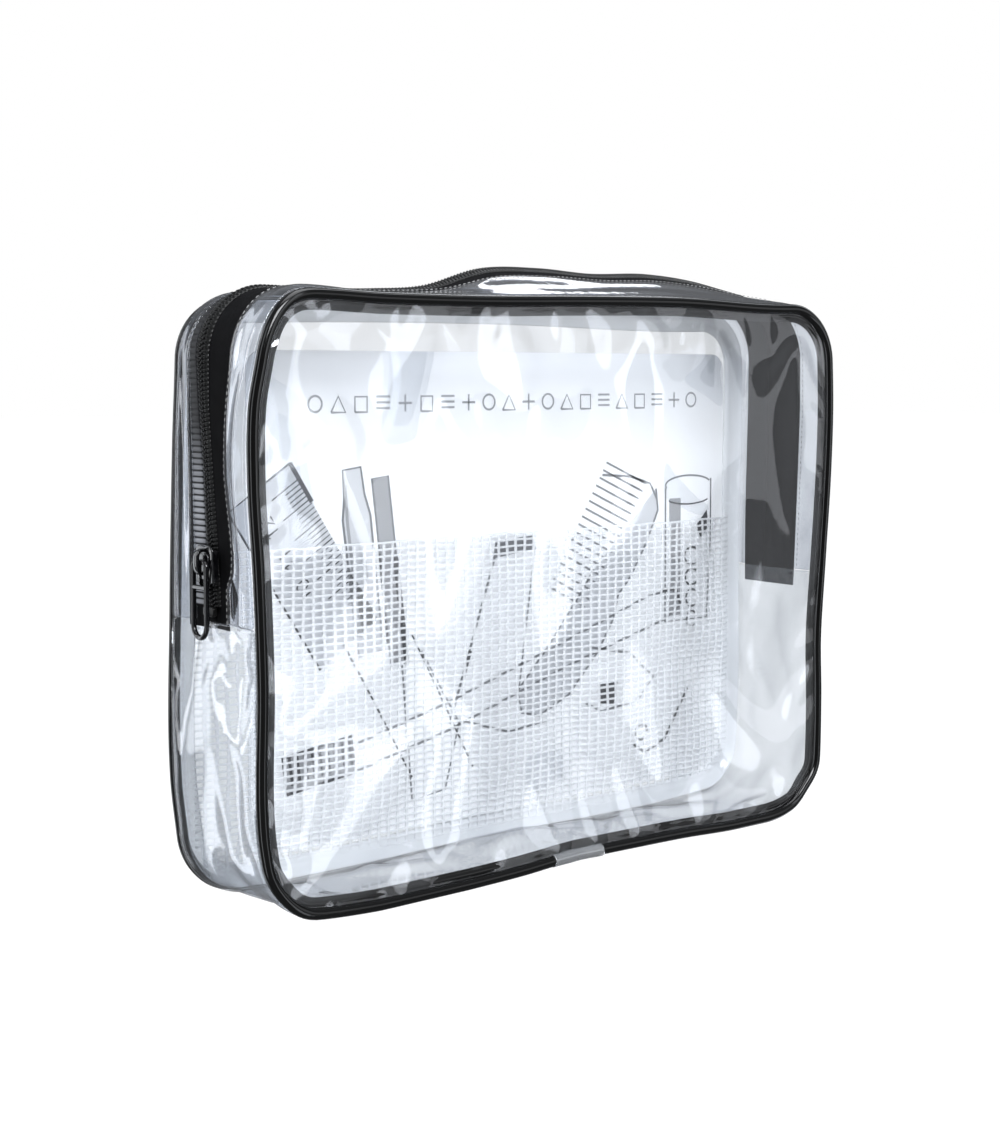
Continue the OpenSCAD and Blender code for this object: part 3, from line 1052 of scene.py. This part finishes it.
def slider_casting():
    top = slider_low.x
    parts = [prism("plate", slider_outline(), top, top + plate_t, 0.42 * MM, zip_y, slider_z),
             prism("inner", slider_outline(-0.3 * MM), slider_high.x - plate_t, slider_high.x, 0.3 * MM,
                   zip_y, slider_z),
             prism("divider", rounded(0.5 * MM, 6 * MM, 0.24 * MM), top + plate_t / 2,
                   slider_high.x - plate_t / 2, 0.1 * MM, zip_y, slider_z)]
    crown = [(y * 0.62, z * 0.62) for y, z in slider_outline()]
    parts.append(prism("crown", crown, top - 0.35 * MM, top + 0.2 * MM, 0.3 * MM, zip_y, slider_z))
    rail = rounded(1.5 * MM, slider_l * 0.8, 0.7 * MM)
    rail_in = -line_x - tape_out - 0.45 * MM
    for side in (-1, 1):
        middle = zip_y + side * (slider_w / 2 - 0.95 * MM)
        parts.append(prism("rail", rail, top + 0.3 * MM, rail_in, 0.3 * MM, middle, slider_z))
    return shade_by_angle(joined("slider_casting", parts))


finished(slider_casting(), ENAMEL, "slider_enamel", "zipper_slider", ["slider_body"])

bridge_low, bridge_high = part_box("slider_bridge")


def slider_arch():
    """A bent strap that holds the pull: a smooth arch over the pin."""
    middle = (bridge_low.z + bridge_high.z) / 2
    half = (bridge_high.z - bridge_low.z) / 2
    height = bridge_high.x - bridge_low.x
    columns, rows = 33, 9
    t = np.linspace(0, math.pi, columns)[None, :]
    w = np.linspace(-1, 1, rows)[:, None]
    power = 0.62
    z = middle - np.sign(np.cos(t)) * np.abs(np.cos(t)) ** power * (half - 0.55 * MM)
    out = np.abs(np.sin(t)) ** power * (height - 0.55 * MM)
    x = bridge_high.x + 0.3 * MM - out + 0.16 * MM * w ** 2
    y = zip_y + w * (1.15 - 0.3 * np.abs(np.cos(t)) ** 2) * MM
    x, y, z = np.broadcast_arrays(x, y, z)
    sheet = thicken(grid_object("slider_arch", x, y, z), 1.05 * MM, 0.0)
    edge = sheet.modifiers.new("edge", "BEVEL")
    edge.width, edge.segments = 0.3 * MM, 2
    edge.limit_method = "ANGLE"
    return shade_by_angle(apply_modifiers(sheet), 50)


finished(slider_arch(), ENAMEL, "slider_enamel", "zipper_slider", ["slider_bridge"])

pull_low, pull_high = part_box("zipper_pull")
wire_r = (pull_high.x - pull_low.x) / 2


def pull_wire():
    """A long wire loop with a cross bar, hanging from its pin."""
    x = (pull_low.x + pull_high.x) / 2
    half = (pull_high.y - pull_low.y) / 2 - wire_r
    top = pull_high.z - wire_r
    low = pull_low.z + wire_r
    bend = half * 0.45
    loop = []
    for cy, cz, start, r in ((half - bend, top - bend, 0.0, bend), (bend - half, top - bend, 0.5, bend),
                             (0.0, low + half, 1.0, half)):
        turns = 9 if r == bend else 17
        sweep = 0.5 if r == bend else 1.0
        for k in range(turns):
            t = (start + sweep * k / (turns - 1)) * math.pi
            loop.append((x, zip_y + cy + r * math.cos(t), cz + r * math.sin(t)))
    dense = []
    for a, b in zip(loop, loop[1:] + loop[:1]):
        parts = max(1, int(math.dist(a, b) / (0.7 * MM)))
        dense += [tuple(p + (q - p) * k / parts for p, q in zip(a, b)) for k in range(parts)]
    ring_wire = tube_object("wire", dense, wire_r, 14, closed=True)
    bar_z = top - 7.5 * MM
    bar_line = [(x, zip_y - half + 2 * half * k / 6, bar_z) for k in range(7)]
    bar = tube_object("bar", bar_line, wire_r * 0.9)
    return shade_by_angle(joined("pull_wire", [ring_wire, bar]), 60)


finished(pull_wire(), ENAMEL, "slider_enamel", "pull", ["zipper_pull"])


# ---------------------------------------------------------------- net pocket

CELL_W, CELL_H = 3.8 * MM, 2.25 * MM
STRAND_W, STRAND_H = 1.05 * MM, 0.72 * MM
NET_INSET = 3.4 * MM
net_foot = net_low.z + 3.2 * MM


def net_half_width(z):
    """Half the width of the sewn pocket at height z, following the round corners."""
    r = corner_r
    drop = np.clip(line_low + r - z, 0, r)
    return line_x - NET_INSET - (r - np.sqrt(np.maximum(r * r - drop * drop, 0)))


def net_guide():
    """The pocket as a plain sheet that hangs a little slack between its sewn sides."""
    columns, rows = 60, 26
    v = np.linspace(0, 1, rows)[:, None]
    u = np.linspace(-1, 1, columns)[None, :]
    z = net_foot + (net_high.z - net_foot) * v + 0 * u
    x = u * net_half_width(z)
    y = np.full_like(x, net_y)
    points = np.stack([x, y, z], -1).reshape(-1, 3)
    fall = ripples(points * [1, 1, 0.5], 42 * MM, 33).reshape(rows, columns)
    inner = soften((1 - np.abs(u)) * 5) * soften(v * 5)
    y = y - (np.abs(fall) * 2.2 + 0.4) * MM * inner
    sheet = grid_object("net_guide", x, y, z)
    mask = np.zeros((rows, columns), bool)
    mask[0] = True
    mask[:, [0, -1]] = True
    buckle(sheet, mask.ravel(), 0.006, cap=2.5 * MM)
    points = points_of(sheet).reshape(rows, columns, 3)
    points[..., 1] = np.minimum(points[..., 1], net_y)
    bpy.data.objects.remove(sheet)
    return points


def sample(grid, u, v):
    """Smooth look-up in a grid of points, u and v from 0 to 1."""
    rows, columns = grid.shape[:2]
    c, r = np.clip(u, 0, 1) * (columns - 1), np.clip(v, 0, 1) * (rows - 1)
    ci, ri = np.minimum(c.astype(int), columns - 2), np.minimum(r.astype(int), rows - 2)
    cf, rf = (c - ci)[..., None], (r - ri)[..., None]
    low = grid[ri, ci] * (1 - cf) + grid[ri, ci + 1] * cf
    high = grid[ri + 1, ci] * (1 - cf) + grid[ri + 1, ci + 1] * cf
    return low * (1 - rf) + high * rf


def net_mesh(guide):
    """Open cells between flat strands, with a pinked edge all round the sewn sides."""
    foot, head = net_low.z, net_high.z
    half = line_x - NET_INSET
    across = int(2 * half / CELL_W)
    up = int((head - foot) / CELL_H)
    xs, zs = [], []
    for i in range(across + 1):
        centre = -half + 2 * half * i / across
        xs += [centre - STRAND_W / 2, centre + STRAND_W / 2]
    for j in range(up + 1):
        centre = foot + 0.8 * MM + (head - foot - 1.1 * MM) * j / up
        zs += [centre - STRAND_H / 2, centre + STRAND_H / 2]
    xs, zs = np.array(xs), np.array([zs[0] - 1.5 * MM] + zs)
    x, z = np.meshgrid(xs, zs)
    limit = net_half_width(z) + 0.3 * MM
    u = (x / np.maximum(net_half_width(z), 1e-3) + 1) / 2
    v = (z - net_foot) / (head - net_foot)
    flat = sample(guide, u, v)
    jitter = ripples(np.stack([x, z * 0, z], -1).reshape(-1, 3), 9 * MM, 41).reshape(x.shape)
    points = np.stack([x + jitter * 0.35 * MM, flat[..., 1], z + jitter[::-1] * 0.3 * MM], -1)
    columns = len(xs)
    inside = np.abs(x) <= limit
    faces = []
    for r in range(len(zs) - 1):
        for c in range(columns - 1):
            hole = r % 2 == 0 and c % 2 == 1
            corners = inside[r, c] and inside[r, c + 1] and inside[r + 1, c] and inside[r + 1, c + 1]
            if not hole and corners:
                faces.append((r * columns + c, r * columns + c + 1,
                              (r + 1) * columns + c + 1, (r + 1) * columns + c))
    used = sorted({k for face in faces for k in face})
    renumber = {k: i for i, k in enumerate(used)}
    points = points.reshape(-1, 3)[used]
    mesh = mesh_object("net", points, [tuple(renumber[k] for k in face) for face in faces])
    return thicken(mesh, 0.32 * MM, 0.0)


finished(net_mesh(net_guide()), NET, "white_net", "bag", ["net_pocket"])


# ---------------------------------------------------------------- insert card and its print

card_face = card_low.y
print_rise = card_low.z - 6.8 * MM
card_mid_x = (card_low.x + card_high.x) / 2


def card_sheet():
    width, height = card_high.x - card_low.x, card_high.z - card_low.z
    outline = rounded(width, height, 6 * MM, 7)
    return shade_by_angle(prism("card", outline, 0, card_high.y - card_low.y, 0.08 * MM))


def turn_card(obj):
    """Stands a flat plate, drawn across x, up in the card's own place."""
    points = points_of(obj)
    turned = np.stack([points[:, 1] + card_mid_x, points[:, 0] + card_face,
                       points[:, 2] + (card_low.z + card_high.z) / 2], -1)
    set_points(obj, turned)
    obj.data.flip_normals()
    return obj


finished(turn_card(card_sheet()), CARD, "card_white", "card", ["insert_card"])


def stroke(points, width, layer=1):
    """A flat printed line through points given in millimetres on the card."""
    line = np.array(points, float) * MM
    along = np.gradient(line, axis=0)
    along /= np.maximum(np.linalg.norm(along, axis=1), 1e-9)[:, None]
    normal = np.stack([-along[:, 1], along[:, 0]], -1) * width * MM / 2
    y = card_face - (0.04 + 0.03 * layer) * MM
    sides = [np.stack([p[:, 0], np.full(len(p), y), p[:, 1] + print_rise], -1)
             for p in (line + normal, line - normal)]
    count = len(line)
    faces = [(i, i + 1, count + i + 1, count + i) for i in range(count - 1)]
    return np.concatenate(sides), faces


def fill(points):
    """A flat printed area inside an outline given in millimetres."""
    line = np.array(points, float) * MM
    y = np.full(len(line), card_face - 0.04 * MM)
    return np.stack([line[:, 0], y, line[:, 1] + print_rise], -1), [tuple(range(len(line)))]


def printed(name, marks, material):
    points, faces = [], []
    for mark_points, mark_faces in marks:
        first = sum(len(p) for p in points)
        points.append(mark_points)
        faces += [tuple(first + k for k in face) for face in mark_faces]
    obj = mesh_object(name, np.concatenate(points), faces, smooth=False)
    return finished(obj, material, "card_white", "card")


def shape_at(outline, x, z, turn):
    """Moves an outline drawn about the origin to its place on the card; turn in degrees."""
    c, s = math.cos(math.radians(turn)), math.sin(math.radians(turn))
    return [(x + (a * c - b * s), z + (a * s + b * c)) for a, b in outline]


def arc(x, z, rx, rz, start, end, steps=14):
    return [(x + rx * math.cos(math.radians(start + (end - start) * k / steps)),
             z + rz * math.sin(math.radians(start + (end - start) * k / steps))) for k in range(steps + 1)]


def box_outline(width, height):
    corners = [(-width / 2, -height / 2), (width / 2, -height / 2), (width / 2, height / 2),
               (-width / 2, height / 2)]
    return corners + corners[:1]


dark, grey, pale, tint = [], [], [], []


def draw_ruler():
    x, z, turn, wide, long = -84, 106, 33, 27, 62
    outline = shape_at(box_outline(wide, long), x + 8, z - 9, turn)
    tint.append(fill(outline[:4]))
    dark.append(stroke(outline[2:5], 0.8))
    edge = shape_at([(wide / 2, long / 2), (wide / 2, long / 2 - 15)], x + 8, z - 9, turn)
    dark.append(stroke(edge, 1.6))
    for k in range(30):
        size = 12 if k % 5 == 0 else 7
        at = long / 2 - 6 - k * 1.55
        tick = shape_at([(wide / 2, at), (wide / 2 - size, at)], x + 8, z - 9, turn)
        (dark if k < 6 or k % 5 == 0 else grey).append(stroke(tick, 0.45, 2))
    two = arc(0, 1.2, 1.4, 1.3, 170, -20, 8) + [(-1.4, -2.4), (1.5, -2.4)]
    one = [(-0.9, 1.4), (0.2, 2.4), (0.2, -2.4)]
    nought = arc(0, 0, 1.4, 2.4, 0, 360)
    for row, pair in enumerate(((one, two), (one, one), (one, nought))):
        for column, digit in enumerate(pair):
            at = long / 2 - 13 - row * 12
            placed = shape_at([(a + column * 3.6 - 1.8, b) for a, b in digit], -4, at, 90)
            dark.append(stroke(shape_at(placed, x + 8, z - 9, turn), 0.6, 2))


def draw_bottle():
    lean = 7
    outline = [(-5, -36), (5, -36), (5.5, 9), (4, 16), (3.6, 25), (-3.6, 25), (-4, 16), (-5.5, 9), (-5, -36)]
    placed = shape_at(outline, -55, 103, lean)
    tint.append(fill(placed[:-1]))
    grey.append(stroke(placed, 0.9))
    shine = shape_at([(-3.2, 20), (-3.8, 8), (-3.4, -30)], -55, 103, lean)
    pale.append(stroke(shine, 1.2, 2))
    pen = shape_at(box_outline(6.5, 62), -43, 94, 7)
    pale.append(fill(pen[:4]))
    dark.append(stroke(shape_at([(2.4, 0), (2.6, -36)], -43, 98, 7), 2.2, 2))
    grey.append(stroke(pen, 0.8))
    dark.append(stroke(shape_at([(-3.6, 4), (-4.0, -26)], -43, 96, 7), 0.9, 2))


def draw_scissors():
    for x0, x1, width in ((-62, -34, 1.0), (-34, -8, 0.9)):
        dark.append(stroke([(x0, 72), ((x0 + x1) / 2 - 2, 52), (x1, 24)], 0.7 * width))
    grey.append(stroke([(-38, 62), (-34, 16), (-20, 18), (-14, 40), (-30, 66)], 0.8))


def draw_brush():
    grey.append(stroke([(2, 96), (-18, 40)], 1.0))
    grey.append(stroke([(20, 98), (12, 44)], 0.7))
    dark.append(stroke([(-9, 64), (-12, 55)], 1.3, 2))
    grey.append(fill([(1, 95), (19, 97), (19, 102), (2, 101)]))


def draw_comb():
    back = [(79, 116), (80, 108), (74, 96), (66, 84), (60, 78), (58, 70), (50, 58), (36, 44), (22, 38),
            (14, 40), (12, 48), (26, 62), (40, 78), (48, 88)]
    tint.append(fill(back))
    grey.append(stroke(back, 0.9))
    for k in range(17):
        x, z = 74 - k * 1.9, 120 - k * 2.7
        grey.append(stroke([(x, z - 2), (x - 20 + k * 0.2, z + 6.5)], 0.75, 2))
    grey.append(stroke([(52, 122), (66, 121), (76, 118), (79.5, 112)], 0.9, 2))


def draw_lipstick():
    outline = [(84, 116), (84, 66), (106, 66), (108, 96), (108, 119)]
    pale.append(fill([(86, 112), (86, 68), (92, 68), (92, 112)]))
    grey.append(stroke(outline, 0.8))
    grey.append(stroke(arc(96, 117, 12, 3.4, 20, 200), 0.7))
    dark.append(stroke(arc(96, 112, 11, 2.4, 200, 340), 0.6, 2))
    for k in range(4):
        dark.append(stroke(arc(98, 90 - k * 8, 4 - k * 0.5, 3.2, 40, 320, 10), 0.9, 2))
    dark.append(fill([(100, 101), (106, 107), (107, 101), (103, 96)]))


def draw_mascara():
    cap = shape_at(box_outline(27, 12), -71, 33, 8)
    pale.append(fill(cap[:4]))
    dark.append(stroke(cap, 1.0))
    for k in range(9):
        x = -82 + k * 2.9
        dark.append(stroke(shape_at([(x + 71, -4.6), (x + 71, 4.6)], -71, 34, 8), 1.1, 2))
    grey.append(stroke([(-57, 38), (-20, 47), (30, 62), (74, 76), (88, 78), (92, 72)], 0.9))
    grey.append(stroke([(-57, 29), (-18, 38), (34, 54), (84, 67), (92, 72)], 0.9))
    dark.append(stroke([(82, 78), (90, 78), (92, 72)], 1.2, 2))
    grey.append(stroke([(-18, 42), (8, 34), (26, 36)], 0.8))


def draw_tweezers():
    grey.append(stroke([(46, 60), (66, 56), (78, 46), (70, 38), (52, 36), (44, 40)], 0.9))
    dark.append(fill([(50, 46), (60, 46), (58, 38), (51, 39)]))
    dark.append(stroke([(68, 22), (74, 18), (84, 22), (96, 40)], 1.1, 2))
    dark.append(stroke(arc(72, 26, 3, 3, 0, 300, 8), 1.0, 2))


def draw_border_marks():
    """A row of plain line shapes along the top of the card."""
    step, height, low = 8.9, 5.6, 146.0
    kinds = [
        lambda x: [arc(x, low + 2.8, 2.6, 2.6, 0, 360, 18)],
        lambda x: [[(x - 2.4, low), (x + 2.4, low), (x + 2.4, low + 5), (x - 2.4, low + 5), (x - 2.4, low)]],
        lambda x: [[(x - 2.8, low + 2.8), (x + 2.8, low + 2.8)], [(x, low), (x, low + height)]],
        lambda x: [[(x - 2.8, low), (x + 2.8, low), (x, low + 5.2), (x - 2.8, low)]],
        lambda x: [[(x - 2.8, low + 1.2 + 1.9 * k), (x + 2.8, low + 1.2 + 1.9 * k)] for k in range(3)],
    ]
    for k in range(20):
        x = -72 + k * step
        for line in kinds[(k * 3 + k // 5) % len(kinds)](x):
            pale.append(stroke(line, 0.75, 1))


for draw in (draw_ruler, draw_bottle, draw_scissors, draw_brush, draw_comb, draw_lipstick,
             draw_mascara, draw_tweezers, draw_border_marks):
    draw()
printed("card_print_dark", dark, INK_DARK)
printed("card_print_grey", grey, INK_GREY)
printed("card_print_pale", pale, INK_PALE)
printed("card_print_tint", tint, INK_TINT)


# ---------------------------------------------------------------- wrap over the joint of the piping

def piping_wrap():
    """Clear film round the front piping, over its joint."""
    wrap_low, wrap_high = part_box("piping_splice")
    half = (wrap_high.x - wrap_low.x) / 2
    steps, sides = 26, 15
    s = np.linspace(-half, half, steps)[None, :]
    t = np.linspace(math.radians(-100), math.radians(140), sides)[:, None]
    x, y, z, out_x, out_z = piping_line(s, -1)
    r = piping_r + 0.22 * MM + 0.06 * MM * np.sin(s / (2.1 * MM))
    shape = (x + 0 * t, y - r * np.cos(t), np.maximum(z - r * np.sin(t), 0.1 * MM))
    sheet = grid_object("piping_wrap", *np.broadcast_arrays(*shape))
    refine(sheet)
    return thicken(sheet, 0.12 * MM, 0.0)


finished(piping_wrap(), FILM, "splice_film", "bag", ["piping_splice"])


# ---------------------------------------------------------------- what the sheets were cut to, worked out and not kept

def cut(wide, long, cover=1.0):
    wide * long * cover


def cut_sheets():
    """Works out the flat size of each soft sheet before it was sewn in, and keeps none of it."""
    wide, tall = 2 * line_x, line_top - line_low
    rounded_off = 1 - (4 - math.pi) * corner_r ** 2 / (wide * tall)
    cut(wide, tall, rounded_off)
    cut(wide, tall, rounded_off)
    cut(2 * edge_y, 2 * left_seam)
    band = band_to - band_from
    middle = np.linspace(band_from, band_to, 60)
    edge = float(np.mean(smooth_knots(middle, FRONT_TAPE_EDGE)))
    cut(edge_y - zip_y - slot_half, band)
    rise = 2.6 * MM
    cut(edge_y + zip_y - edge + 0.8 * MM + rise, band)
    cut(tape_half, tape_to - tape_from)
    cut(tape_half, tape_to - tape_from)
    holes = (CELL_W - STRAND_W) * (CELL_H - STRAND_H) / (CELL_W * CELL_H)
    cut(wide - 2 * NET_INSET, net_high.z - net_low.z, 1 - holes)


cut_sheets()


# ---------------------------------------------------------------- floor, light and camera

def floor():
    size = 6.0
    obj = mesh_object("floor", [(-size, -size, 0), (size, -size, 0), (size, size, 0), (-size, size, 0)],
                      [(0, 1, 2, 3)])
    f = Finish("pale_floor")
    mottle = f.noise(f.place(), 0.4, 3.0)
    obj.data.materials.append(f.done(f.surface(
        Base_Color=f.mix(mottle, (0.10, 0.10, 0.10), (0.12, 0.12, 0.12)), Roughness=0.85,
        Specular_IOR_Level=0.1, Emission_Color=dye(1.0), Emission_Strength=0.97)))
    obj.visible_glossy = False


def studio_room():
    """White to the camera; for reflections a dark room with upright strip lamps and a pale ceiling."""
    world = bpy.data.worlds.new("studio")
    scene.world = world
    w = Nodes(world)
    way = w.node("ShaderNodeTexCoord", output="Generated")
    height = w.node("ShaderNodeSeparateXYZ", {}, way, output=2)
    level = w.vector("NORMALIZE", w.vector("MULTIPLY", way, (1, 1, 0)), None)
    room = 0.05 + (-1.0 * height).between(0.02, 0.3) * 0.12 + height.between(0.35, 0.6) * 0.28
    for x, y, wide, power in ((-0.97, -0.24, 7, 4.0), (0.42, -0.91, 5, 3.0), (-0.40, 0.92, 8, 3.0),
                              (0.98, 0.2, 7, 3.0)):
        facing = w.vector("DOT_PRODUCT", level, Vector((x, y, 0)).normalized(), output="Value")
        strip = facing.between(math.cos(math.radians(wide + 2)), math.cos(math.radians(wide)))
        room = room + strip * height.abs().between(0.75, 0.6) * power
    lit = w.node("ShaderNodeBackground", {}, (0.91, 0.95, 1, 1), room)
    seen = w.node("ShaderNodeBackground", {}, (1, 1, 1, 1), 1.0)
    camera_ray = w.node("ShaderNodeLightPath", output="Is Camera Ray")
    w.put_out("ShaderNodeOutputWorld", w.blend(camera_ray, lit, seen))


def softbox(name, place, target, width, height, power):
    lamp = bpy.data.lights.new(name, "AREA")
    lamp.shape = "RECTANGLE"
    lamp.size, lamp.size_y = width, height
    lamp.energy = power
    lamp.color = (0.95, 0.97, 1.0)
    obj = bpy.data.objects.new(name, lamp)
    scene.collection.objects.link(obj)
    obj.location = place
    obj.rotation_euler = (Vector(target) - Vector(place)).to_track_quat("-Z", "Y").to_euler()
    obj.visible_camera = False


def lights():
    middle = (0, 0, 0.09)
    softbox("overhead", (0.1, -0.1, 1.3), middle, 1.1, 0.9, 14)
    softbox("key", (-0.35, -1.15, 1.0), middle, 0.7, 0.6, 27)
    softbox("front_right", (1.0, -1.2, 0.25), middle, 1.2, 0.75, 3.2)
    softbox("behind_left", (-1.2, 1.1, 0.4), middle, 0.22, 1.3, 5)
    softbox("behind_right", (1.05, 0.85, 1.1), middle, 0.5, 0.25, 1.8)


def camera():
    """Looks at the bag from the front left, a little above half its height."""
    data = bpy.data.cameras.new("camera")
    cam = bpy.data.objects.new("camera", data)
    scene.collection.objects.link(cam)
    yaw, pitch = math.radians(39.56), 0.05
    look = Vector((math.sin(yaw) * math.cos(pitch), math.cos(yaw) * math.cos(pitch), -math.sin(pitch)))
    cam.location = (-0.3965, -0.4633, 0.160)
    cam.rotation_euler = look.to_track_quat("-Z", "Y").to_euler()
    data.sensor_width = 36
    data.lens = 58.1
    data.shift_y = -0.088
    data.clip_start, data.clip_end = 0.01, 50
    scene.camera = cam


floor()
studio_room()
lights()
camera()
scene.view_settings.view_transform = "Standard"
scene.cycles.transparent_max_bounces = 40
scene.cycles.max_bounces = 8
